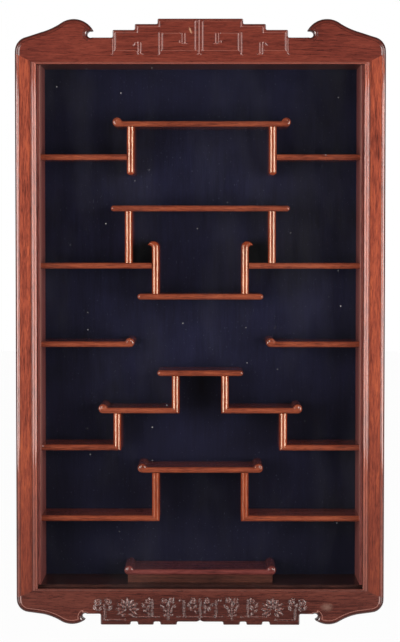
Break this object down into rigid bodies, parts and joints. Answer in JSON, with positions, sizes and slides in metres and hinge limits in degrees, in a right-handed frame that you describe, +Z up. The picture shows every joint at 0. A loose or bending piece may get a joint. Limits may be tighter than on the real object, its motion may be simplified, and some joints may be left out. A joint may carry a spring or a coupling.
{
  "type": "wall display cabinet",
  "caption": "Shallow wall-hung wooden display cabinet with a hinged, carved and glazed door, a velvet back and stepped open shelves with scrolled ends.",
  "frame": {"origin": "on the wall plane at the back of the case, midway across, level with the middle of the glass", "axes": "+X to the right seen from the front, +Y into the wall, +Z up; the door faces -Y"},
  "size_m": [0.56, 0.12, 0.92],
  "materials": {
    "rosewood": "gloss lacquer",
    "back_panel": "bare plywood",
    "velvet": "dark velvet",
    "window_glass": "clear",
    "hinge_brass": "satin",
    "zinc_steel": "zinc plated",
    "plated_magnet": "nickel plated"
  },
  "bodies": {
    "case": {"case_side_left": "rosewood", "case_side_right": "rosewood", "case_top": "rosewood", "case_bottom": "rosewood", "back_board": "back_panel", "back_board_pins": "zinc_steel", "velvet_lining": "velvet", "hanger_plates": "zinc_steel", "hanger_screws": "zinc_steel", "top_bridge_shelf": "rosewood", "upper_shelf_left": "rosewood", "upper_shelf_right": "rosewood", "high_bridge_shelf": "rosewood", "middle_shelf_left": "rosewood", "middle_shelf_right": "rosewood", "centre_bridge_shelf": "rosewood", "side_shelf_left": "rosewood", "side_shelf_right": "rosewood", "small_centre_shelf": "rosewood", "scroll_shelf_left": "rosewood", "scroll_shelf_right": "rosewood", "corner_shelf_left": "rosewood", "corner_shelf_right": "rosewood", "low_bridge_shelf": "rosewood", "lower_shelf_left": "rosewood", "lower_shelf_right": "rosewood", "platform_board": "rosewood", "platform_plinth_front": "rosewood", "platform_plinth_cheek_left": "rosewood", "platform_plinth_cheek_right": "rosewood", "top_upright_left": "rosewood", "top_upright_right": "rosewood", "high_upright_left": "rosewood", "high_upright_right": "rosewood", "hooked_upright_left": "rosewood", "hooked_upright_right": "rosewood", "centre_upright_left": "rosewood", "centre_upright_right": "rosewood", "corner_upright_left": "rosewood", "corner_upright_right": "rosewood", "lower_upright_left": "rosewood", "lower_upright_right": "rosewood", "case_hinge_leaf_upper": "hinge_brass", "case_hinge_leaf_lower": "hinge_brass", "hinge_pins": "hinge_brass", "case_hinge_screws": "hinge_brass", "catch_magnet": "plated_magnet"},
    "door": {"door_stile_left": "rosewood", "door_stile_right": "rosewood", "crest_rail": "rosewood", "apron_rail": "rosewood", "glass_pane": "window_glass", "glass_bead_left": "rosewood", "glass_bead_right": "rosewood", "glass_bead_top": "rosewood", "glass_bead_bottom": "rosewood", "door_hinge_leaf_upper": "hinge_brass", "door_hinge_leaf_lower": "hinge_brass", "door_hinge_screws": "hinge_brass", "catch_strike": "zinc_steel"}
  },
  "joints": [
    {"name": "door_swing", "type": "hinge", "parent": "case", "child": "door", "pos_m": [0.2653, -0.0987, 0], "axis": [0, 0, 1], "range_deg": [0, 100]}
  ]
}
